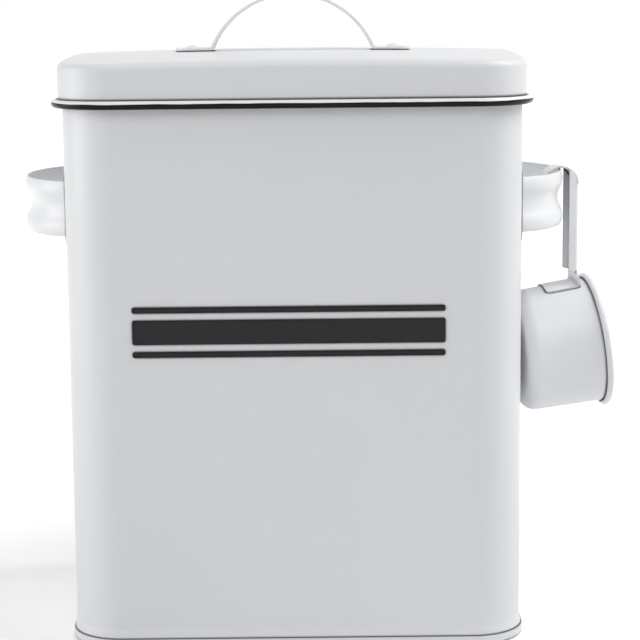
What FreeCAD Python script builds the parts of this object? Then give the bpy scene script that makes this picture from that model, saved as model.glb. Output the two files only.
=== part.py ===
import FreeCAD, Part
import math
import os

# Sheet-steel laundry powder tin: a rounded-rectangle canister with a folded base seam, a
# lift-off lid with a rolled rim and a strap handle, two pressed loop handles, and a scoop
# that hangs by its folded strap from the right-hand loop.
#
# Frame: the origin is the centre of the base on the standing plane, +Z is up, the front
# faces -Y and the scoop hangs on the +X side. Lengths are in millimetres.

# --- Driving dimensions: canister ---
WIDTH = 190.0              # across the outside of the side walls
DEPTH = 132.0              # across the outside of the front and back walls
CORNER_R = 21.0            # upright corners, outside
BODY_HEIGHT = 243.6        # standing plane to the top of the curled rim
SHEET = 0.6                # gauge of canister and lid
RIM_CURL_R = 1.5           # curled top rim, outside radius
FLARE = 0.65               # how far the foot of the wall is set out, to lie in the seam
FLARE_TOP = 8.0            # height where the wall starts to flare
FLARE_FOOT = 4.6           # height where the flare ends
SEAM_HEIGHT = 3.8          # folded band round the foot
SEAM_CLEAR = 0.05          # between the folded sheets of the seam
PAN_RISE = 3.0             # underside of the base panel above the standing plane
PAN_BEND_R = 0.9           # inside bend of the pan at its panel
SEAM_BEND_R = 0.2          # inside bend at the bottom of the folded seam
LOCK_WIDTH = 7.0           # upright lock seam up the back, inside the wall
LOCK_THICK = 1.2           # folded sheets standing in from the wall
LOCK_GROOVE = 0.25         # depth of the groove that closes the lock, outside
LOCK_END_GAP = 4.0         # lock seam stops short of the rim curl and of the flare

# --- Driving dimensions: lid ---
LID_GAP = 1.2              # canister wall to the inside of the lid's skirt
LID_SEAT_GAP = 0.3         # curled rim to the underside of the lid at its corners
SKIRT_DROP = 15.8          # curled rim down to the middle of the lid's rolled bead
LID_CROWN = 1.6            # rise of the lid from a mid-edge to its centre, each way
LID_EDGE_R = 3.3           # pressed edge between skirt and top, outside
BEAD_R = 1.72              # rolled bead on the skirt, outside radius
BEAD_CURL = 305.0          # degrees that the bead is rolled through

# --- Driving dimensions: lid handle ---
ARCH_R = 37.7              # strap arch, to the middle of the strap
ARCH_RISE = 24.3           # lid to the top of the arch
ARCH_WIDTH = 17.8          # strap width
ARCH_THICK = 1.2           # strap thickness
ARCH_BEND_R = 1.6          # middle radius where the strap turns into its feet
FOOT_END = 50.3            # centre of the lid to the end of a foot
FOOT_CORNER_R = 5.0        # rounded corners of a foot
ARCH_SEAT = 0.05           # foot above the crowned lid at the foot's inner end
RIVET_X = 43.5             # centre of the lid to each rivet
RIVET_R = 1.6              # rivet shank
RIVET_CLEAR = 0.05         # shank to its holes, and closed head to the sheet
RIVET_HEAD_R = 2.9         # domed head
RIVET_HEAD_H = 1.2
CLOSED_HEAD_R = 2.6        # head formed under the lid
CLOSED_HEAD_H = 0.9

# --- Driving dimensions: side handles ---
LOOP_TOP = 194.6           # top edge of the loop
LOOP_HEIGHT = 23.4         # pressed strap, edge to edge
LOOP_SHEET = 0.8           # gauge of loop and plate
LOOP_REACH = 20.2          # wall to the outside of the valley at the middle of the loop
LOOP_HALF = 38.5           # half the length of the oval that the loop is cut from
LOOP_CORNER_R = 24.0       # plan radius at the ends of the oval, outside of the valley
LOOP_CROWN_ANGLE = 35.0    # half the angle of the flatter arc between the ends
RIB_INSET = 3.6            # edge of the strap to the ridge of its rib
RIB_DEPTH = 2.1            # ridge to valley
RIB_R = 7.0                # outside radius of a ridge
TAB_LENGTH = 10.0          # welded tab at the end of each leg
TAB_HEIGHT = 13.0
PLATE_HEIGHT = 30.0
PLATE_LENGTH = 84.0
PLATE_CORNER_R = 3.0

# --- Driving dimensions: scoop ---
CUP_SHEET = 0.6            # gauge of the cup
CUP_BASE_R = 26.7          # outside radius at the base
CUP_MOUTH_R = 27.5         # outside radius at the mouth
CUP_FILLET_R = 6.0         # round at the base, outside
CUP_TILT = 8.0             # mouth tips up by this angle, degrees
CUP_BASE_LEAN = 3.0        # base, which is cut askew, leans from the wall by this angle, degrees
CUP_WALL_GAP = 0.35        # cup's base to the wall that it hangs against
SCOOP_TURN = 6.0           # scoop hangs with its mouth turned to the back by this angle, degrees
ROLL_R = 1.4               # rolled rim, outside radius
ROLL_CURL = 290.0          # degrees that the rim is rolled through
STRAP_SHEET = 0.8          # gauge of the strap
STRAP_WIDTH = 12.4         # across the channel
STRAP_FLANGE = 4.1         # depth of the channel
STRAP_FOOT_WIDTH = 20.0    # across the strip where it is not folded
STRAP_FOLD_R = 0.8         # middle radius of the channel's folds
STRAP_LENGTH = 50.4        # inside of the hook down to the top of the cup
STRAP_RIM_GAP = 3.6        # strap to the cup's rolled rim
STRAP_FOOT = 15.0          # foot welded along the top of the cup
STRAP_FOOT_CORNER_R = 2.0
STRAP_FOOT_BEND_R = 0.8    # inside radius of the bend into the foot
STRAP_FOOT_SEAT = 0.03     # foot above the cup that it hugs
STRAP_NECK = 2.6           # height over which the strip narrows from the foot to the channel
FLANGE_FOOT_RISE = 1.0     # flanges start at the neck and rise this much to their free edges
HOOK_R = 7.5               # hook, outside radius
HOOK_GAP = 0.4             # inside of the hook to the top edge of the loop
HOOK_WRAP = 152.0          # degrees that the hook is bent through
HOOK_CORNER_R = 3.0        # rounded corners at the end of the hook

# --- Sizes that follow ---
STRAIGHT_X = WIDTH / 2 - CORNER_R
STRAIGHT_Y = DEPTH / 2 - CORNER_R
CORNER_LEAN = CORNER_R * math.sqrt(0.5)
LID_CORNER_DROP = LID_CROWN * (
    ((STRAIGHT_X + CORNER_LEAN) / (WIDTH / 2)) ** 2
    + ((STRAIGHT_Y + CORNER_LEAN) / (DEPTH / 2)) ** 2
)
LID_TOP = BODY_HEIGHT + LID_SEAT_GAP + SHEET + LID_CORNER_DROP
BEAD_Z = BODY_HEIGHT - SKIRT_DROP
LOOP_BOTTOM = LOOP_TOP - LOOP_HEIGHT
LOOP_MIDDLE = LOOP_TOP - LOOP_HEIGHT / 2
PLATE_FACE = WIDTH / 2 + LOOP_SHEET

UP = FreeCAD.Vector(0, 0, 1)
ORIGIN = FreeCAD.Vector(0, 0, 0)


# --- Sheet-metal sections: a path of straight runs and arcs, thickened both ways ---

def rounded_path(points, radii):
    """Straight runs through points, with an arc of the given middle radius at each inner point."""
    path = []
    start = points[0]
    for corner, after, radius in zip(points[1:-1], points[2:], radii):
        run_in = math.atan2(corner[1] - start[1], corner[0] - start[0])
        run_out = math.atan2(after[1] - corner[1], after[0] - corner[0])
        turn = math.remainder(run_out - run_in, 2 * math.pi)
        setback = radius * math.tan(abs(turn) / 2)
        arc_start = (corner[0] - setback * math.cos(run_in), corner[1] - setback * math.sin(run_in))
        path.append(("line", start, arc_start))
        path.append(arc_from(arc_start, run_in, radius, turn))
        start = (corner[0] + setback * math.cos(run_out), corner[1] + setback * math.sin(run_out))
    path.append(("line", start, points[-1]))
    return path


def arc_from(start, heading, radius, turn):
    """Arc that leaves start along heading and turns left (+) or right (-) by turn, in radians."""
    side = math.copysign(1.0, turn)
    centre = (
        start[0] - side * radius * math.sin(heading),
        start[1] + side * radius * math.cos(heading),
    )
    first = heading - side * math.pi / 2
    return ("arc", centre, radius, first, first + turn)


def curl_on(path, radius, degrees):
    """Add an arc of the given middle radius to the end of a path; left turns are positive."""
    _, start, end = path[-1]
    heading = math.atan2(end[1] - start[1], end[0] - start[0])
    return path + [arc_from(end, heading, radius, math.radians(degrees))]


def on_arc(centre, radius, angle):
    return (centre[0] + radius * math.cos(angle), centre[1] + radius * math.sin(angle))


def offset_edges(path, left, to_vector):
    """Edges of the path moved sideways by left."""
    edges = []
    for piece in path:
        if piece[0] == "line":
            _, start, end = piece
            heading = math.atan2(end[1] - start[1], end[0] - start[0])
            shift = (-left * math.sin(heading), left * math.cos(heading))
            ends = [to_vector(p[0] + shift[0], p[1] + shift[1]) for p in (start, end)]
            if ends[0].distanceToPoint(ends[1]) > 1e-6:
                edges.append(Part.makeLine(*ends))
        else:
            _, centre, radius, first, last = piece
            radius = radius - left * math.copysign(1.0, last - first)
            stops = [on_arc(centre, radius, a) for a in (first, (first + last) / 2, last)]
            edges.append(Part.Arc(*[to_vector(*p) for p in stops]).toShape())
    return edges


def sheet_face(path, thickness, to_vector):
    """Face of a bent sheet whose middle follows the path."""
    near = offset_edges(path, thickness / 2, to_vector)
    far = offset_edges(path, -thickness / 2, to_vector)
    first_cap = Part.makeLine(far[0].firstVertex(True).Point, near[0].firstVertex(True).Point)
    last_cap = Part.makeLine(near[-1].lastVertex(True).Point, far[-1].lastVertex(True).Point)
    outline = Part.Wire(Part.__sortEdges__(near + [last_cap] + far + [first_cap]))
    return Part.Face(outline)


def upright(across, height):
    """Section drawn in the XZ plane."""
    return FreeCAD.Vector(across, 0, height)


def flat(x, y):
    """Section drawn in the XY plane."""
    return FreeCAD.Vector(x, y, 0)


def moved(shape, x=0, y=0, z=0):
    copy = shape.copy()
    copy.translate(FreeCAD.Vector(x, y, z))
    return copy


def joined(shapes):
    return shapes[0].fuse(shapes[1:]).removeSplitter()


def mirrored_x(shape):
    return shape.mirror(ORIGIN, FreeCAD.Vector(1, 0, 0))


# --- Plan of the canister ---

def rounded_block(half_x, half_y, radius, bottom, top):
    """Upright block with rounded corners, centred on the Z axis."""
    block = Part.makeBox(
        2 * half_x, 2 * half_y, top - bottom, FreeCAD.Vector(-half_x, -half_y, bottom)
    )
    corners = [edge for edge in block.Edges if edge.tangentAt(edge.FirstParameter).cross(UP).Length < 1e-6]
    return block.makeFillet(radius, corners)


def plan_block(outset, bottom, top):
    """Block whose sides stand outset beyond the canister's wall."""
    return rounded_block(WIDTH / 2 + outset, DEPTH / 2 + outset, CORNER_R + outset, bottom, top)


def round_the_tin(section):
    """Carry an upright section, measured outwards from the wall, round the canister."""
    pieces = []
    for half, straight, angle in (
        (WIDTH / 2, STRAIGHT_Y, 0),
        (DEPTH / 2, STRAIGHT_X, 90),
        (WIDTH / 2, STRAIGHT_Y, 180),
        (DEPTH / 2, STRAIGHT_X, 270),
    ):
        side = moved(section, x=half, y=-straight).extrude(FreeCAD.Vector(0, 2 * straight, 0))
        corner_axis = FreeCAD.Vector(half - CORNER_R, straight, 0)
        corner = moved(section, x=half, y=straight).revolve(corner_axis, UP, 90)
        for piece in (side, corner):
            piece.rotate(ORIGIN, UP, angle)
            pieces.append(piece)
    return joined(pieces)


# --- Canister ---

def body_wall():
    """Wall in one sheet: flared foot, curled rim, and an upright lock seam up the back."""
    foot = (FLARE - SHEET / 2, SHEET + SEAM_BEND_R + SEAM_CLEAR)
    section = rounded_path(
        [
            foot,
            (FLARE - SHEET / 2, FLARE_FOOT),
            (-SHEET / 2, FLARE_TOP),
            (-SHEET / 2, BODY_HEIGHT - RIM_CURL_R),
        ],
        [2.0, 2.0],
    )
    section = curl_on(section, RIM_CURL_R - SHEET / 2, 270)
    wall = round_the_tin(sheet_face(section, SHEET, upright))
    return lock_seam(wall)


def lock_seam(wall):
    """Fold the wall's two edges together inside the back, with the closing groove outside."""
    bottom = FLARE_TOP + LOCK_END_GAP
    height = BODY_HEIGHT - 2 * RIM_CURL_R - LOCK_END_GAP - bottom
    inner_face = DEPTH / 2 - SHEET
    fold = Part.makeBox(
        LOCK_WIDTH, LOCK_THICK + SHEET / 2, height,
        FreeCAD.Vector(-LOCK_WIDTH / 2, inner_face - LOCK_THICK, bottom),
    )
    inside_edges = [edge for edge in fold.Edges if edge.CenterOfMass.y < inner_face - LOCK_THICK + 0.01]
    fold = fold.makeFillet(LOCK_THICK * 0.4, inside_edges)
    groove = Part.makeBox(
        LOCK_WIDTH, LOCK_GROOVE, height,
        FreeCAD.Vector(-LOCK_WIDTH / 2, DEPTH / 2 - LOCK_GROOVE, bottom),
    )
    return wall.fuse(fold).cut(groove).removeSplitter()


def base_pan():
    """Recessed base panel whose edge is folded round the foot of the wall."""
    inner_leg = FLARE - SHEET - SEAM_CLEAR - SHEET / 2
    outer_leg = FLARE + SEAM_CLEAR + SHEET / 2
    panel_edge = inner_leg - SHEET / 2 - PAN_BEND_R - SHEET
    seam_bend = SEAM_BEND_R + SHEET / 2
    section = rounded_path(
        [
            (panel_edge, PAN_RISE + SHEET / 2),
            (inner_leg, PAN_RISE + SHEET / 2),
            (inner_leg, SHEET / 2),
            (outer_leg, SHEET / 2),
            (outer_leg, SEAM_HEIGHT),
        ],
        [PAN_BEND_R, seam_bend, seam_bend],
    )
    ring = round_the_tin(sheet_face(section, SHEET, upright))
    panel = plan_block(panel_edge, PAN_RISE, PAN_RISE + SHEET)
    return joined([ring, panel])


# --- Lid ---

def crown_height(x, y):
    """Height of the lid's outer surface above a point, before its edges turn down."""
    return LID_TOP - LID_CROWN * ((x / (WIDTH / 2)) ** 2 + (y / (DEPTH / 2)) ** 2)


def crown_block(inset):
    """Everything under the lid's crowned top, taken inset below its outer surface."""
    radius_x = (WIDTH / 2) ** 2 / (2 * LID_CROWN)
    radius_y = (DEPTH / 2) ** 2 / (2 * LID_CROWN)
    half_width = WIDTH / 2 + 2 * LID_GAP + 4 * SHEET
    spread = math.degrees(math.asin((DEPTH / 2 + 2 * LID_GAP + 4 * SHEET) / radius_y))
    arc_radius = radius_x - inset
    lean = math.asin(half_width / arc_radius)
    centre = (0, LID_TOP - radius_x)
    stops = [on_arc(centre, arc_radius, math.pi / 2 + lean * k) for k in (1, 0, -1)]
    floor = BODY_HEIGHT - 3 * SKIRT_DROP
    top = Part.Arc(*[upright(*p) for p in stops]).toShape()
    low_right = upright(stops[2][0], floor)
    low_left = upright(stops[0][0], floor)
    sides = Part.makePolygon([upright(*stops[2]), low_right, low_left, upright(*stops[0])])
    face = Part.Face(Part.Wire([top] + sides.Edges))
    axis_point = FreeCAD.Vector(0, 0, LID_TOP - radius_y)
    face.rotate(axis_point, FreeCAD.Vector(1, 0, 0), spread)
    return face.revolve(axis_point, FreeCAD.Vector(-1, 0, 0), 2 * spread)


def lid_block(inset, bottom):
    """Solid outer form of the lid, or its hollow when inset by the sheet."""
    outset = LID_GAP + SHEET - inset
    block = plan_block(outset, bottom, LID_TOP + 1).common(crown_block(inset))
    top_edges = [
        edge for edge in block.Edges
        if edge.BoundBox.ZMin > bottom + SKIRT_DROP / 2
    ]
    return block.makeFillet(LID_EDGE_R - inset, top_edges)


def lid_shell():
    """Drawn lid: crowned top, rounded edge and straight skirt, pierced for the rivets."""
    shell = lid_block(0, BEAD_Z).cut(lid_block(SHEET, BEAD_Z - 1))
    for x in (-RIVET_X, RIVET_X):
        hole = Part.makeCylinder(
            RIVET_R + RIVET_CLEAR, SKIRT_DROP, FreeCAD.Vector(x, 0, LID_TOP - SKIRT_DROP / 2)
        )
        shell = shell.cut(hole)
    return shell


def lid_rim_bead():
    """Rolled bead that carries on from the skirt's lower edge and turns outwards."""
    start = LID_GAP + SHEET / 2
    section = [arc_from((start, BEAD_Z), -math.pi / 2, BEAD_R - SHEET / 2, math.radians(BEAD_CURL))]
    return round_the_tin(sheet_face(section, SHEET, upright))


def arch_foot_z():
    """Middle of the handle's strap along its feet."""
    inner_end = math.sqrt(ARCH_R ** 2 - (ARCH_R - ARCH_RISE) ** 2)
    return crown_height(inner_end, 0) + ARCH_SEAT + ARCH_THICK / 2


def lid_handle():
    """Strap bent to an arch, with a pierced foot at each end."""
    foot_z = arch_foot_z()
    centre = (0, LID_TOP + ARCH_RISE - ARCH_THICK / 2 - ARCH_R)
    bend_x = math.sqrt((ARCH_R + ARCH_BEND_R) ** 2 - (foot_z + ARCH_BEND_R - centre[1]) ** 2)
    bend = (bend_x, foot_z + ARCH_BEND_R)
    lean = math.atan2(bend[1] - centre[1], bend_x)
    right = [
        ("arc", centre, ARCH_R, math.pi / 2, lean),
        ("arc", bend, ARCH_BEND_R, lean - math.pi, -math.pi / 2),
        ("line", (bend_x, foot_z), (FOOT_END, foot_z)),
    ]
    half = sheet_face(right, ARCH_THICK, upright).extrude(FreeCAD.Vector(0, ARCH_WIDTH, 0))
    half.translate(FreeCAD.Vector(0, -ARCH_WIDTH / 2, 0))
    end_edges = [
        edge for edge in half.Edges
        if edge.BoundBox.XMin > FOOT_END - 0.01 and edge.BoundBox.ZLength > ARCH_THICK / 2
    ]
    half = half.makeFillet(FOOT_CORNER_R, end_edges)
    handle = joined([half, mirrored_x(half)])
    for x in (-RIVET_X, RIVET_X):
        hole = Part.makeCylinder(
            RIVET_R + RIVET_CLEAR, 4 * ARCH_THICK, FreeCAD.Vector(x, 0, foot_z - 2 * ARCH_THICK)
        )
        handle = handle.cut(hole)
    return handle


def lid_rivet(x):
    """Rivet with a domed head on the foot and a closed head under the lid."""
    seat = arch_foot_z() + ARCH_THICK / 2
    under = crown_height(abs(x) + CLOSED_HEAD_R, CLOSED_HEAD_R) - SHEET - RIVET_CLEAR
    dome_r = (RIVET_HEAD_R ** 2 + RIVET_HEAD_H ** 2) / (2 * RIVET_HEAD_H)
    dome_centre = (0, seat + RIVET_HEAD_H - dome_r)
    rim_angle = math.atan2(seat - dome_centre[1], RIVET_HEAD_R)
    stops = [on_arc(dome_centre, dome_r, a) for a in (math.pi / 2, (math.pi / 2 + rim_angle) / 2, rim_angle)]
    dome = Part.Arc(*[upright(*p) for p in stops]).toShape()
    rest = Part.makePolygon([
        upright(*stops[2]),
        upright(RIVET_R, seat),
        upright(RIVET_R, under),
        upright(CLOSED_HEAD_R, under),
        upright(CLOSED_HEAD_R * 0.7, under - CLOSED_HEAD_H),
        upright(0, under - CLOSED_HEAD_H),
        upright(*stops[0]),
    ])
    profile = Part.Face(Part.Wire([dome] + rest.Edges))
    return moved(profile.revolve(ORIGIN, UP, 360), x=x)


# --- Side handles ---

def handle_plate():
    """Flat plate welded to the side wall, behind the loop."""
    plate = Part.makeBox(
        LOOP_SHEET, PLATE_LENGTH, PLATE_HEIGHT,
        FreeCAD.Vector(WIDTH / 2, -PLATE_LENGTH / 2, LOOP_MIDDLE - PLATE_HEIGHT / 2),
    )
    corners = [edge for edge in plate.Edges if edge.BoundBox.XLength > LOOP_SHEET / 2]
    return plate.makeFillet(PLATE_CORNER_R, corners)


def loop_section():
    """Pressed W section: two ridges with a wide valley between, measured from the valley."""
    half_pitch = LOOP_HEIGHT / 2 - RIB_INSET
    valley_r = (half_pitch ** 2 + RIB_DEPTH ** 2) / (2 * RIB_DEPTH) - RIB_R
    ridge_x = RIB_DEPTH - RIB_R
    meet = math.atan2(half_pitch, valley_r - ridge_x)
    edge = math.asin(RIB_INSET / RIB_R)
    high = (ridge_x, LOOP_TOP - RIB_INSET)
    low = (ridge_x, LOOP_BOTTOM + RIB_INSET)
    valley = (valley_r, LOOP_MIDDLE)
    section = [
        ("arc", high, RIB_R - LOOP_SHEET / 2, edge, -meet),
        ("arc", valley, valley_r + LOOP_SHEET / 2, math.pi - meet, math.pi + meet),
        ("arc", low, RIB_R - LOOP_SHEET / 2, meet, -edge),
    ]
    return sheet_face(section, LOOP_SHEET, upright)


def handle_loop():
    """Pressed strap bent to half an oval, butted on the plate with a welded tab at each end."""
    section = loop_section()
    half_angle = math.radians(LOOP_CROWN_ANGLE)
    grip_r = (LOOP_HALF - LOOP_CORNER_R) / math.sin(half_angle) + LOOP_CORNER_R
    grip_x = WIDTH / 2 + LOOP_REACH - grip_r
    corner_x = grip_x + (grip_r - LOOP_CORNER_R) * math.cos(half_angle)
    corner_y = LOOP_HALF - LOOP_CORNER_R
    end_y = corner_y + math.sqrt((LOOP_CORNER_R - LOOP_SHEET) ** 2 - (PLATE_FACE - corner_x) ** 2)

    grip = moved(section, x=grip_x + grip_r)
    grip.rotate(FreeCAD.Vector(grip_x, 0, 0), UP, -LOOP_CROWN_ANGLE)
    grip = grip.revolve(FreeCAD.Vector(grip_x, 0, 0), UP, 2 * LOOP_CROWN_ANGLE)

    corner_axis = FreeCAD.Vector(corner_x, corner_y, 0)
    corner = moved(section, x=corner_x + LOOP_CORNER_R, y=corner_y)
    corner.rotate(corner_axis, UP, LOOP_CROWN_ANGLE)
    corner = corner.revolve(corner_axis, UP, 90 - LOOP_CROWN_ANGLE)
    behind_plate = Part.makeBox(
        LOOP_CORNER_R, LOOP_HALF, LOOP_HEIGHT,
        FreeCAD.Vector(PLATE_FACE - LOOP_CORNER_R, corner_y, LOOP_BOTTOM),
    )
    corner = corner.cut(behind_plate)
    tab = Part.makeBox(
        LOOP_SHEET, TAB_LENGTH, TAB_HEIGHT,
        FreeCAD.Vector(PLATE_FACE, end_y + LOOP_SHEET / 2 - TAB_LENGTH, LOOP_MIDDLE - TAB_HEIGHT / 2),
    )
    free_corners = [
        edge for edge in tab.Edges
        if edge.BoundBox.XLength > LOOP_SHEET / 2 and edge.CenterOfMass.y < end_y - TAB_LENGTH / 2
    ]
    tab = tab.makeFillet(PLATE_CORNER_R, free_corners)
    end = [corner, tab]
    far_end = [piece.mirror(ORIGIN, FreeCAD.Vector(0, 1, 0)) for piece in end]
    return joined([grip] + end + far_end)


# --- Scoop ---

HOOK_X = WIDTH / 2 + LOOP_REACH + RIB_DEPTH - RIB_R * (1 - math.cos(math.asin(RIB_INSET / RIB_R))) \
    - LOOP_SHEET / 2
HOOK_INSIDE_Z = LOOP_TOP + HOOK_GAP
STRAP_X = HOOK_X + HOOK_R - STRAP_SHEET / 2
TILT = math.radians(CUP_TILT)


def cup_frame():
    """Base centre of the cup, its depth to the roll, and its slope, before the scoop is turned."""
    turn = math.radians(SCOOP_TURN)
    lean = math.acos(math.cos(math.radians(CUP_BASE_LEAN)) * math.cos(turn))
    turned_base_x = (
        WIDTH / 2 + CUP_WALL_GAP
        + (CUP_BASE_R - CUP_FILLET_R) * math.sin(lean)
        + CUP_FILLET_R * (1 - math.cos(lean))
    )
    base_x = HOOK_X - (HOOK_X - turned_base_x) / math.cos(turn)
    roll_centre_r = CUP_MOUTH_R - CUP_SHEET + ROLL_R
    roll_x = STRAP_X + STRAP_SHEET / 2 + STRAP_RIM_GAP + ROLL_R
    depth = (roll_x + roll_centre_r * math.sin(TILT) - base_x) / math.cos(TILT)
    slope = TILT + math.atan2(CUP_MOUTH_R - CUP_BASE_R, depth)
    strap_foot_z = HOOK_INSIDE_Z - STRAP_LENGTH
    top_x = base_x - CUP_BASE_R * math.sin(TILT)
    base_z = strap_foot_z - (STRAP_X - top_x) * math.tan(slope) - CUP_BASE_R * math.cos(TILT)
    return base_x, base_z, depth, slope


def tipped(shape):
    """Lay a shape drawn on the Z axis along the cup's axis, base at its place."""
    base_x, base_z, _, _ = cup_frame()
    shape.rotate(ORIGIN, FreeCAD.Vector(0, 1, 0), 90 - CUP_TILT)
    return moved(shape, x=base_x, z=base_z)


def hung(shape):
    """Turn a piece of the scoop about the upright line through its hook."""
    shape.rotate(FreeCAD.Vector(HOOK_X, 0, 0), UP, SCOOP_TURN)
    return shape


def cup_form(inset):
    """Solid form of the cup, base downwards and cut askew, or its hollow when inset by the sheet."""
    depth = cup_frame()[2]
    askew = CUP_TILT - CUP_BASE_LEAN
    taper = (CUP_MOUTH_R - CUP_BASE_R) / depth
    form = Part.makeCone(
        CUP_BASE_R - inset - taper * CUP_FILLET_R, CUP_MOUTH_R - inset, depth + CUP_FILLET_R,
        FreeCAD.Vector(0, 0, -CUP_FILLET_R),
    )
    below = Part.makeBox(
        4 * CUP_BASE_R, 4 * CUP_BASE_R, 4 * CUP_FILLET_R,
        FreeCAD.Vector(-2 * CUP_BASE_R, -2 * CUP_BASE_R, inset - 4 * CUP_FILLET_R),
    )
    below.rotate(ORIGIN, FreeCAD.Vector(0, 1, 0), askew)
    form = form.cut(below)
    base_edges = [edge for edge in form.Edges if edge.BoundBox.ZMax < depth / 2]
    return form.makeFillet(CUP_FILLET_R - inset, base_edges)


def scoop_cup():
    """Tapered cup with a rounded base and an outward rolled rim, tipped up at the mouth."""
    depth = cup_frame()[2]
    start = (CUP_MOUTH_R - CUP_SHEET / 2, depth)
    curl = [arc_from(start, math.pi / 2, ROLL_R - CUP_SHEET / 2, -math.radians(ROLL_CURL))]
    roll = sheet_face(curl, CUP_SHEET, upright).revolve(ORIGIN, UP, 360)
    cup = cup_form(0).cut(cup_form(CUP_SHEET))
    return hung(tipped(joined([cup, roll])))


def around_cup(outset):
    """Solid cone that stands outset beyond the cup's wall."""
    depth = cup_frame()[2]
    return tipped(Part.makeCone(CUP_BASE_R + outset, CUP_MOUTH_R + outset, depth))


def strap_foot():
    """Foot and the plain end of the web: a saddle that hugs the cup, with a bend into the strap."""
    slope = cup_frame()[3]
    inner = around_cup(STRAP_FOOT_SEAT)
    outer = around_cup(STRAP_FOOT_SEAT + STRAP_SHEET)
    foot_z = HOOK_INSIDE_Z - STRAP_LENGTH
    web_out = STRAP_X + STRAP_SHEET / 2
    reach = STRAP_FOOT * math.cos(slope)
    stock = Part.makeBox(
        reach, STRAP_FOOT_WIDTH, 2 * STRAP_FOOT,
        FreeCAD.Vector(web_out - reach, -STRAP_FOOT_WIDTH / 2, foot_z - STRAP_FOOT),
    )
    end_edges = [
        edge for edge in stock.Edges
        if edge.BoundBox.XMax < web_out - reach / 2 and edge.BoundBox.ZLength > STRAP_FOOT
    ]
    saddle = stock.makeFillet(STRAP_FOOT_CORNER_R, end_edges).common(outer)
    foot = saddle.fuse(strap_neck(foot_z)).cut(inner).removeSplitter()
    return bend_into_foot(foot, foot_z)


def strap_neck(foot_z):
    """Plain end of the web, which narrows from the width of the foot to that of the channel."""
    start = foot_z + STRAP_FOOT_BEND_R + 2 * STRAP_SHEET
    end = start + STRAP_NECK
    corners = [
        (-STRAP_FOOT_WIDTH / 2, foot_z - STRAP_FOOT),
        (STRAP_FOOT_WIDTH / 2, foot_z - STRAP_FOOT),
        (STRAP_FOOT_WIDTH / 2, start),
        (STRAP_WIDTH / 2, end),
        (-STRAP_WIDTH / 2, end),
        (-STRAP_FOOT_WIDTH / 2, start),
    ]
    points = [FreeCAD.Vector(STRAP_X - STRAP_SHEET / 2, y, z) for y, z in corners]
    outline = Part.Face(Part.makePolygon(points + points[:1]))
    return outline.extrude(FreeCAD.Vector(STRAP_SHEET, 0, 0))


def bend_into_foot(foot, foot_z):
    """Round the two corners where the web turns into the foot."""
    for face_x, radius in (
        (STRAP_X - STRAP_SHEET / 2, STRAP_FOOT_BEND_R),
        (STRAP_X + STRAP_SHEET / 2, STRAP_FOOT_BEND_R + STRAP_SHEET),
    ):
        across = [
            edge for edge in foot.Edges
            if abs(edge.BoundBox.XMax - face_x) < 1e-3 and abs(edge.BoundBox.XMin - face_x) < 1e-3
            and edge.BoundBox.YLength > STRAP_FOOT_WIDTH / 2 and edge.BoundBox.ZMax < foot_z + 2 * STRAP_SHEET
        ]
        foot = foot.makeFillet(radius, across)
    return foot


def scoop_strap():
    """Strap: hook over the loop, folded channel down to the cup, and a saddle foot on the cup."""
    hook_z = HOOK_INSIDE_Z + STRAP_SHEET - HOOK_R
    hook_middle_r = HOOK_R - STRAP_SHEET / 2
    hook = [
        ("arc", (HOOK_X, hook_z), hook_middle_r, math.radians(HOOK_WRAP), 0),
    ]
    hook = sheet_face(hook, STRAP_SHEET, upright).extrude(FreeCAD.Vector(0, STRAP_WIDTH, 0))
    hook.translate(FreeCAD.Vector(0, -STRAP_WIDTH / 2, 0))
    tip_edges = [
        edge for edge in hook.Edges
        if edge.Length < 2 * STRAP_SHEET and edge.CenterOfMass.x < HOOK_X
    ]
    hook = hook.makeFillet(HOOK_CORNER_R, tip_edges)
    return hung(joined([hook, strap_foot(), strap_channel(hook_z)]))


def strap_channel(hook_z):
    """Channel section from above the foot up into the hook, its flanges cut back at the foot."""
    edge_y = STRAP_WIDTH / 2 - STRAP_SHEET / 2
    free_x = STRAP_X + STRAP_SHEET / 2 - STRAP_FLANGE
    section = rounded_path(
        [(free_x, -edge_y), (STRAP_X, -edge_y), (STRAP_X, edge_y), (free_x, edge_y)],
        [STRAP_FOLD_R, STRAP_FOLD_R],
    )
    section = sheet_face(section, STRAP_SHEET, flat)
    bottom = HOOK_INSIDE_Z - STRAP_LENGTH + STRAP_FOOT_BEND_R + 2 * STRAP_SHEET + STRAP_NECK - STRAP_FOLD_R
    channel = moved(section, z=bottom).extrude(FreeCAD.Vector(0, 0, hook_z - bottom))
    reach = STRAP_FLANGE - STRAP_SHEET
    wedge = Part.Face(Part.makePolygon([
        upright(free_x + reach, bottom),
        upright(free_x - reach, bottom + 2 * FLANGE_FOOT_RISE),
        upright(free_x - reach, bottom - STRAP_FLANGE),
        upright(free_x + reach, bottom - STRAP_FLANGE),
        upright(free_x + reach, bottom),
    ]))
    channel = channel.cut(moved(wedge, y=-STRAP_WIDTH).extrude(FreeCAD.Vector(0, 2 * STRAP_WIDTH, 0)))
    hook_round = Part.makeCylinder(
        HOOK_R, 2 * STRAP_WIDTH, FreeCAD.Vector(HOOK_X, -STRAP_WIDTH, hook_z), FreeCAD.Vector(0, 1, 0)
    )
    in_hook = moved(section, z=hook_z).extrude(FreeCAD.Vector(0, 0, HOOK_R)).common(hook_round)
    return channel.fuse(in_hook)


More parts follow.
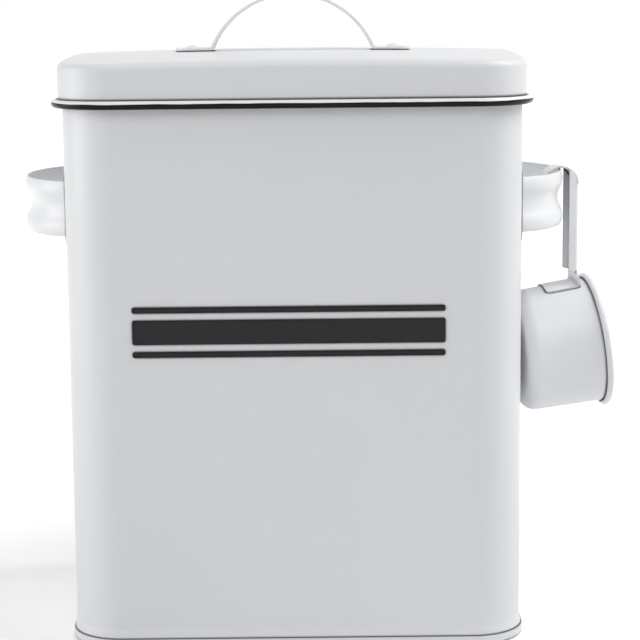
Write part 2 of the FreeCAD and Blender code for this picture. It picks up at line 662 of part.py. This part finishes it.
def main():
    os.makedirs("parts", exist_ok=True)
    plate = handle_plate()
    loop = handle_loop()
    shapes = {
        "body_wall": body_wall(),
        "base_pan": base_pan(),
        "left_handle_plate": mirrored_x(plate),
        "left_handle_loop": mirrored_x(loop),
        "right_handle_plate": plate,
        "right_handle_loop": loop,
        "lid_shell": lid_shell(),
        "lid_rim_bead": lid_rim_bead(),
        "lid_handle": lid_handle(),
        "lid_left_rivet": lid_rivet(-RIVET_X),
        "lid_right_rivet": lid_rivet(RIVET_X),
        "scoop_cup": scoop_cup(),
        "scoop_strap": scoop_strap(),
    }
    for name, shape in shapes.items():
        solid = shape.Solids[0] if len(shape.Solids) == 1 else shape
        print(name, shape.isValid(), len(shape.Solids), round(shape.Volume, 2))
        solid.exportStep("parts/" + name + ".step")


main()
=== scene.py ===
import math
import bpy
from mathutils import Euler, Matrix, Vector


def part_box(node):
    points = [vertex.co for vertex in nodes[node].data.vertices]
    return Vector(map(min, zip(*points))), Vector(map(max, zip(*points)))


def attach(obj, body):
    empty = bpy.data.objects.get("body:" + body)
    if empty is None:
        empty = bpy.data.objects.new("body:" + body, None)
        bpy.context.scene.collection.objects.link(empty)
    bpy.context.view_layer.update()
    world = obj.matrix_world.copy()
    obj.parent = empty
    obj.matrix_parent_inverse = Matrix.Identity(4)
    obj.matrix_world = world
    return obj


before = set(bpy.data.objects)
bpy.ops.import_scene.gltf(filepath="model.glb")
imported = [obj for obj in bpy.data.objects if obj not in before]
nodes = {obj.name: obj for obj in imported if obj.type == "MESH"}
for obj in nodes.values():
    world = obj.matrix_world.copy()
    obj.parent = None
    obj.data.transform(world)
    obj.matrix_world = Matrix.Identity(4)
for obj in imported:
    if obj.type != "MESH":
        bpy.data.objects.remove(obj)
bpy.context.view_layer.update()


# --- Camera ---
# A long lens a little above the top of the tin, and almost square on to its front. It looks down
# by about ten degrees.

SENSOR_WIDTH = 36.0         # millimetres
LENS = 113.66               # millimetres
CAMERA_PLACE = (0.00855, -0.88316, 0.27816)
CAMERA_TURN = (80.354, 0.539, -0.230)   # degrees about X, Y and Z

camera_data = bpy.data.cameras.new("camera")
camera_data.sensor_width = SENSOR_WIDTH
camera_data.lens = LENS
camera = bpy.data.objects.new("camera", camera_data)
camera.location = CAMERA_PLACE
camera.rotation_euler = Euler([math.radians(angle) for angle in CAMERA_TURN], "XYZ")
bpy.context.scene.collection.objects.link(camera)
bpy.context.scene.camera = camera


# --- Light ---
# A white studio tent with four soft boxes: one at each side, one above the front and one above
# the right. The tent's own light is even and a little dim, so the boxes brighten the tin's corners
# and leave its flat front a shade darker. The camera and all glossy surfaces see the tent white.

EVEN_LIGHT = (0.98, 0.99, 1.0, 1.0)
EVEN_STRENGTH = 0.26
WHITE = (1.0, 1.0, 1.0, 1.0)
WHITE_STRENGTH = 1.0
TIN_MIDDLE = (0.0, 0.0, 0.13)   # what the soft boxes are turned to

world = bpy.data.worlds.new("white_tent")
bpy.context.scene.world = world
world.use_nodes = True


def add_node(tree, kind, inputs=None, **settings):
    """Add a node with its settings, and set or link its inputs.

    An input goes by its name, or by its number where a node has several of one name.
    """
    node = tree.nodes.new(kind)
    for name, value in settings.items():
        setattr(node, name, value)
    for name, value in (inputs or {}).items():
        if isinstance(value, bpy.types.NodeSocket):
            tree.links.new(value, node.inputs[name])
        else:
            node.inputs[name].default_value = value
    return node


tent = world.node_tree
tent.nodes.clear()
rays = add_node(tent, "ShaderNodeLightPath")
seen = add_node(tent, "ShaderNodeMath",
                {0: rays.outputs["Is Camera Ray"], 1: rays.outputs["Is Glossy Ray"]},
                operation="MAXIMUM")
seen = add_node(tent, "ShaderNodeMath",
                {0: seen.outputs[0], 1: rays.outputs["Is Transmission Ray"]},
                operation="MAXIMUM")
even_light = add_node(tent, "ShaderNodeBackground",
                      {"Color": EVEN_LIGHT, "Strength": EVEN_STRENGTH})
white_tent = add_node(tent, "ShaderNodeBackground", {"Color": WHITE, "Strength": WHITE_STRENGTH})
tent_mix = add_node(tent, "ShaderNodeMixShader",
                    {0: seen.outputs[0], 1: even_light.outputs[0], 2: white_tent.outputs[0]})
add_node(tent, "ShaderNodeOutputWorld", {"Surface": tent_mix.outputs[0]})


def soft_box(name, place, width, height, power):
    """A rectangular area lamp at a place, turned to face the middle of the tin."""
    lamp_data = bpy.data.lights.new(name, "AREA")
    lamp_data.shape = "RECTANGLE"
    lamp_data.size = width
    lamp_data.size_y = height
    lamp_data.energy = power
    lamp = bpy.data.objects.new(name, lamp_data)
    lamp.location = place
    lamp.rotation_euler = (Vector(TIN_MIDDLE) - Vector(place)).to_track_quat("-Z", "Y").to_euler()
    bpy.context.scene.collection.objects.link(lamp)


soft_box("left_soft_box", (-1.3, -0.25, 0.35), width=0.9, height=1.2, power=9.2)
soft_box("right_soft_box", (1.3, 0.05, 0.35), width=0.7, height=1.2, power=2.0)
soft_box("front_top_soft_box", (0.0, -1.1, 1.2), width=1.0, height=0.7, power=4.7)
soft_box("right_top_soft_box", (0.9, 0.0, 1.2), width=0.8, height=0.8, power=10.5)


# --- The tin: its wall and base pan ---
# The wall is one sheet of steel, rolled to a rounded rectangle and locked by a seam up the back.
# The base pan is folded round its foot. Both were sprayed white together, after they were joined.

def linear(hex_colour):
    """An sRGB hex colour as linear red, green, blue and alpha."""
    parts = [int(hex_colour[i:i + 2], 16) / 255 for i in (1, 3, 5)]
    return tuple(p / 12.92 if p <= 0.04045 else ((p + 0.055) / 1.055) ** 2.4
                 for p in parts) + (1.0,)


def new_material(name):
    """An empty node-based material."""
    material = bpy.data.materials.new(name)
    material.use_nodes = True
    material.node_tree.nodes.clear()
    return material


# White powder coat on sheet steel, sprayed dry and baked. It is satin, evenly coloured and very
# slightly rippled, like fine orange peel, so highlights on it stay soft. The powder draws back
# from cut edges, so it is thin and grey there. Joints, folds and narrow gaps are darkened in the
# colour as painted shade, standing in for the shadow that falls in them.
COAT_IOR = 1.5
PEEL_WAVE = 0.0022          # across one ripple of the coat, coarser than real so that it shows
PEEL_DEPTH = 0.000012       # the most that one ripple rises
PEEL_STRENGTH = 0.5
CLOUD_SIZE = 0.045          # across one patch of slightly different shade and sheen
EDGE_REACH = 0.0006         # how far the powder draws back from a cut edge
CUT, UNCUT = 0.78, 0.985    # rounded normal against the sheet's own, at a cut edge and away from it
SHADE_REACH = 0.0016        # how near its neighbour a surface has to be for painted shade to darken it
HEMMED_IN, OPEN = 0.66, 0.90        # share of its outlook that the neighbour leaves free
NOISE_LOW, NOISE_HIGH = 0.3, 0.7    # nearly all of a noise lies between these


def coat_surface(tree, colour, shade, joint, edge, sleek, dull, reach=SHADE_REACH):
    """White coat: a drift of shade and sheen, orange peel, grey cut edges, and painted shade in
    joints.
    """
    place = add_node(tree, "ShaderNodeTexCoord").outputs["Object"]
    drift = add_node(tree, "ShaderNodeTexNoise",
                     {"Vector": place, "Scale": 1 / CLOUD_SIZE, "Detail": 2.0, "Roughness": 0.4})
    tint = add_node(tree, "ShaderNodeMix",
                    {0: drift.outputs[0], 6: linear(colour), 7: linear(shade)}, data_type="RGBA")

    # At a cut edge the rounded normal turns away from the sheet's own.
    rounded = add_node(tree, "ShaderNodeBevel", {"Radius": EDGE_REACH}, samples=6)
    own = add_node(tree, "ShaderNodeNewGeometry").outputs["Normal"]
    flat = add_node(tree, "ShaderNodeVectorMath", {0: rounded.outputs[0], 1: own},
                    operation="DOT_PRODUCT")
    flat = add_node(tree, "ShaderNodeMapRange",
                    {0: flat.outputs["Value"], 1: CUT, 2: UNCUT, 3: 0.0, 4: 1.0})
    tint = add_node(tree, "ShaderNodeMix",
                    {0: flat.outputs[0], 6: linear(edge), 7: tint.outputs[2]}, data_type="RGBA")

    # In a joint or fold the surface is hemmed in by its neighbour, and its colour there is darkened
    # as painted shade.
    nearby_shade = add_node(tree, "ShaderNodeAmbientOcclusion", {"Distance": reach}, samples=10)
    clear = add_node(tree, "ShaderNodeMapRange",
                     {0: nearby_shade.outputs["AO"], 1: HEMMED_IN, 2: OPEN, 3: 0.0, 4: 1.0})
    tint = add_node(tree, "ShaderNodeMix",
                    {0: clear.outputs[0], 6: linear(joint), 7: tint.outputs[2]}, data_type="RGBA")

    sheen = add_node(tree, "ShaderNodeMapRange",
                     {0: drift.outputs[0], 1: NOISE_LOW, 2: NOISE_HIGH, 3: sleek, 4: dull})
    peel = add_node(tree, "ShaderNodeTexNoise",
                    {"Vector": place, "Scale": 1 / PEEL_WAVE, "Detail": 1.0, "Roughness": 0.5})
    ripple = add_node(tree, "ShaderNodeBump",
                      {"Strength": PEEL_STRENGTH, "Distance": PEEL_DEPTH,
                       "Height": peel.outputs[0]})
    return add_node(tree, "ShaderNodeBsdfPrincipled",
                    {"Base Color": tint.outputs[2], "Roughness": sheen.outputs[0],
                     "IOR": COAT_IOR, "Normal": ripple.outputs[0]}).outputs[0]


def powder_coat(name, **tones):
    """A material that is this coat and nothing else."""
    material = new_material(name)
    coat = coat_surface(material.node_tree, **tones)
    add_node(material.node_tree, "ShaderNodeOutputMaterial", {"Surface": coat})
    return material


def finish_nodes(material, *names):
    """Give CAD nodes their real finish in place of the plain colour that they come with."""
    for name in names:
        nodes[name].data.materials.clear()
        nodes[name].data.materials.append(material)


# The seams were closed before spraying, so the powder has nearly bridged them, and the painted
# shade in them is only mid grey.
tin_coat = powder_coat("white_satin_powder_coat_over_seams", colour="#E9EAEC", shade="#E6E7E9",
                       joint="#5E5F63", edge="#B4B5B9", sleek=0.34, dull=0.42)
finish_nodes(tin_coat, "body_wall", "base_pan")


# --- The side handles: plates and pressed loops ---
# Each loop is a strap of steel pressed with two ridges and bowed, and each plate is a flat blank.
# They were spot welded together and to the wall, and their coat is sleeker where hands rub it.

# Their joints are darkened nearly to black as painted shade.
handle_coat = powder_coat("white_powder_coat_rubbed_by_hands", colour="#F3F4F5", shade="#EFF0F2",
                          joint="#18191B", edge="#AEAFB3", sleek=0.28, dull=0.36)
finish_nodes(handle_coat, "left_handle_plate", "left_handle_loop",
             "right_handle_plate", "right_handle_loop")


# --- The lid and its rolled bead ---
# The lid is drawn from one sheet, with its lower edge rolled outwards to a hollow bead. It was
# sprayed white all over, and black gloss enamel was then brushed round the bead by hand.

# Its joints, such as under the handle's feet, are darkened to black as painted shade.
lid_coat = powder_coat("white_satin_powder_coat_on_drawn_lid", colour="#E9EAEC", shade="#E6E7E9",
                       joint="#08090A", edge="#B4B5B9", sleek=0.34, dull=0.42)
finish_nodes(lid_coat, "lid_shell")

# The brush leaves the top of the bead bare and white, with a slightly wavering border. The
# enamel is nearly black and thick, with soft waves in its gloss and no coat over it.
BARE_BAND = 0.00118         # height of the bead's top that the brush leaves white
WAVER = 0.0006              # how far the border strays up and down
WAVER_LENGTH = 0.014        # along the bead, from one stray of the border to the next
BORDER_BLUR = 0.00004       # half the height over which white turns to black
BRUSH_WAVE = 0.006          # across one wave that the brush left in the enamel
BRUSH_DEPTH = 0.00006       # the most that such a wave rises
BRUSH_STRENGTH = 0.3
ENAMEL_IOR = 1.25           # low, so that the white tent doesn't turn the black grey
ENAMEL_SLEEK, ENAMEL_DULL = 0.14, 0.26      # its lowest and highest roughness

enamelled_bead = new_material("white_coat_with_black_enamel_band")
tree = enamelled_bead.node_tree
# The bead's joints are darkened as painted shade, such as where it meets the skirt.
coat = coat_surface(tree, colour="#F6F6F7", shade="#F3F3F5", joint="#1C1D20", edge="#A2A3A8",
                    sleek=0.24, dull=0.30)
place = add_node(tree, "ShaderNodeTexCoord").outputs["Object"]
flow = add_node(tree, "ShaderNodeTexNoise",
                {"Vector": place, "Scale": 1 / BRUSH_WAVE, "Detail": 2.0})
gloss = add_node(tree, "ShaderNodeMapRange",
                 {0: flow.outputs[0], 1: NOISE_LOW, 2: NOISE_HIGH,
                  3: ENAMEL_SLEEK, 4: ENAMEL_DULL})
waves = add_node(tree, "ShaderNodeBump",
                 {"Strength": BRUSH_STRENGTH, "Distance": BRUSH_DEPTH, "Height": flow.outputs[0]})
enamel = add_node(tree, "ShaderNodeBsdfPrincipled",
                  {"Base Color": linear("#040405"), "Roughness": gloss.outputs[0],
                   "IOR": ENAMEL_IOR, "Normal": waves.outputs[0]})
height = add_node(tree, "ShaderNodeSeparateXYZ", {"Vector": place}).outputs["Z"]
stray = add_node(tree, "ShaderNodeTexNoise",
                 {"Vector": place, "Scale": 1 / WAVER_LENGTH, "Detail": 1.0})
border = add_node(tree, "ShaderNodeMath", {0: stray.outputs[0], 1: WAVER, 2: height},
                  operation="MULTIPLY_ADD")
border_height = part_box("lid_rim_bead")[1][2] - BARE_BAND + WAVER / 2
bare = add_node(tree, "ShaderNodeMapRange",
                {0: border.outputs[0], 1: border_height - BORDER_BLUR,
                 2: border_height + BORDER_BLUR, 3: 0.0, 4: 1.0})
bead = add_node(tree, "ShaderNodeMixShader", {0: bare.outputs[0], 1: enamel.outputs[0], 2: coat})
add_node(tree, "ShaderNodeOutputMaterial", {"Surface": bead.outputs[0]})
finish_nodes(enamelled_bead, "lid_rim_bead")


# --- The lid's handle and its rivets ---
# The handle is a flat strap, bent to an arch with a foot at each end and held by a domed rivet
# through each foot. Its sheared edges were rounded, so it keeps its powder there. Painted shade
# darkens only the very bottom of its joints, nearly to black, such as under each foot.

ARCH_SHADE_REACH = 0.0011        # how near its neighbour a surface has to be for painted shade to darken it

arch_coat = powder_coat("white_powder_coat_on_rounded_edges", colour="#F4F5F5", shade="#F1F2F3",
                        joint="#060607", edge="#F4F5F5", sleek=0.30, dull=0.38,
                        reach=ARCH_SHADE_REACH)
finish_nodes(arch_coat, "lid_handle", "lid_left_rivet", "lid_right_rivet")


# --- The scoop: its cup and strap ---
# The cup is deep drawn and its rim rolled outwards. The strap is a sheared strip, folded to a
# channel and bent to a hook, and its foot is welded on the cup. Its sheared edges are sharp, so
# the powder is thinnest there, and the cup's has dulled from use.

# The strap's dark grey edges are partly thin powder and partly painted shade along the channel's
# free edges, and its joints are darkened as painted shade.
strap_coat = powder_coat("white_powder_coat_on_sheared_strip", colour="#F1F2F3", shade="#EDEEF0",
                         joint="#1A1B1E", edge="#4A4B4F", sleek=0.34, dull=0.42)
finish_nodes(strap_coat, "scoop_strap")

# The cup's joints are darkened nearly to black as painted shade, such as under its rolled rim.
cup_coat = powder_coat("white_powder_coat_dulled_by_use", colour="#EEEFF1", shade="#EAEBEE",
                       joint="#0E0F11", edge="#9C9DA1", sleek=0.36, dull=0.44)
finish_nodes(cup_coat, "scoop_cup")


# --- Printed stripes on the front ---
# Three plain stripes of black ink, thin, broad and thin, screen printed on the finished coat.
# The ink lies on the coat as a film with rounded corners, a shade duller than the bead's enamel.

TIN_FRONT = -0.066          # the flat front of the wall, above the flare at its foot
INK_FILM = 0.00005          # thickness of the film
INK_SUNK = 0.00001          # how far the back of the film lies inside the front
STRIPE_LEFT = -0.0665       # ends of the stripes, across the front
STRIPE_RIGHT = 0.0619

# Height of each stripe's lower and upper edge.
STRIPES = {"top": (0.1428, 0.1450), "middle": (0.1297, 0.1396), "bottom": (0.1243, 0.1265)}
STRIPE_CORNER_R = 0.0006
STRIPE_CORNER_STEPS = 6

# Screen ink dries to a satin, slightly grained film: black, with a faint drift in shade and sheen.
MESH_MARK = 0.0004          # across one thread mark that the screen left
MESH_MARK_DEPTH = 0.000008  # the most that such a mark rises
MESH_MARK_STRENGTH = 0.3
INK_DRIFT = 1 / 90          # across one patch of different shade and sheen, 11 mm
INK_IOR = 1.35
INK_SLEEK, INK_DULL = 0.42, 0.55            # its lowest and highest roughness

ink = new_material("black_screen_ink")
tree = ink.node_tree
place = add_node(tree, "ShaderNodeTexCoord").outputs["Object"]
mesh_mark = add_node(tree, "ShaderNodeTexNoise",
                     {"Vector": place, "Scale": 1 / MESH_MARK, "Detail": 1.0})
flow = add_node(tree, "ShaderNodeTexNoise",
                {"Vector": place, "Scale": 1 / INK_DRIFT, "Detail": 2.0})
ink_tint = add_node(tree, "ShaderNodeMix",
                    {0: flow.outputs[0], 6: linear("#111214"), 7: linear("#1A1B1E")},
                    data_type="RGBA")
dull = add_node(tree, "ShaderNodeMapRange",
                {0: flow.outputs[0], 1: NOISE_LOW, 2: NOISE_HIGH, 3: INK_SLEEK, 4: INK_DULL})
grain = add_node(tree, "ShaderNodeBump",
                 {"Strength": MESH_MARK_STRENGTH, "Distance": MESH_MARK_DEPTH,
                  "Height": mesh_mark.outputs[0]})
film = add_node(tree, "ShaderNodeBsdfPrincipled",
                {"Base Color": ink_tint.outputs[2], "Roughness": dull.outputs[0],
                 "IOR": INK_IOR, "Normal": grain.outputs[0]})
add_node(tree, "ShaderNodeOutputMaterial", {"Surface": film.outputs[0]})

for stripe_name, (low, high) in STRIPES.items():
    middle = ((STRIPE_LEFT + STRIPE_RIGHT) / 2, TIN_FRONT - INK_FILM / 2 + INK_SUNK,
              (low + high) / 2)
    bpy.ops.object.select_all(action="DESELECT")
    bpy.ops.mesh.primitive_cube_add(size=1.0, location=middle)
    stripe = bpy.context.object
    stripe.name = "printed_stripe_" + stripe_name
    stripe.scale = (STRIPE_RIGHT - STRIPE_LEFT, INK_FILM, high - low)
    bpy.ops.object.transform_apply(location=True, rotation=True, scale=True)
    for edge in stripe.data.edges:
        ends = [stripe.data.vertices[i].co for i in edge.vertices]
        edge.select = abs(ends[0].y - ends[1].y) > INK_FILM / 2
    bpy.ops.object.mode_set(mode="EDIT")
    bpy.ops.mesh.bevel(offset=STRIPE_CORNER_R, segments=STRIPE_CORNER_STEPS)
    bpy.ops.object.mode_set(mode="OBJECT")
    stripe.data.materials.append(ink)
    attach(stripe, "tin")


# --- Floor ---
# A wide sheet of matt white card that the tin stands on. It keeps the tin's soft shadow, and
# glows more and more with distance until it is as white as the tent, so no horizon shows.

FLOOR_SIZE = 12.0
FLOOR_DROP = 0.0002         # below the standing plane, so that the two faces don't flicker
SHADOW_ROOM = 0.16          # the card is plain up to this far from the tin's middle
TENT_WALL = 0.75            # and as white as the tent from here on
PLAIN_GLOW = 0.30           # how much of the tent's white the card has there of its own

bpy.ops.object.select_all(action="DESELECT")
bpy.ops.mesh.primitive_plane_add(size=FLOOR_SIZE, location=(0, 0, -FLOOR_DROP))
floor = bpy.context.object
floor.name = "floor"

card = new_material("white_card")
tree = card.node_tree
rays = add_node(tree, "ShaderNodeLightPath")
seen = add_node(tree, "ShaderNodeMath",
                {0: rays.outputs["Is Camera Ray"], 1: rays.outputs["Is Glossy Ray"]},
                operation="MAXIMUM")
place = add_node(tree, "ShaderNodeTexCoord").outputs["Object"]
distance = add_node(tree, "ShaderNodeVectorMath", {0: place}, operation="LENGTH")
glow = add_node(tree, "ShaderNodeMapRange",
                {0: distance.outputs["Value"], 1: SHADOW_ROOM, 2: TENT_WALL,
                 3: PLAIN_GLOW, 4: WHITE_STRENGTH})
lift = add_node(tree, "ShaderNodeEmission", {"Color": WHITE, "Strength": glow.outputs[0]})
paper = add_node(tree, "ShaderNodeBsdfDiffuse", {"Color": linear("#F4F4F4")})
shown = add_node(tree, "ShaderNodeAddShader", {0: paper.outputs[0], 1: lift.outputs[0]})
both = add_node(tree, "ShaderNodeMixShader",
                {0: seen.outputs[0], 1: paper.outputs[0], 2: shown.outputs[0]})
add_node(tree, "ShaderNodeOutputMaterial", {"Surface": both.outputs[0]})
floor.data.materials.append(card)

bpy.context.scene.view_settings.view_transform = "Standard"
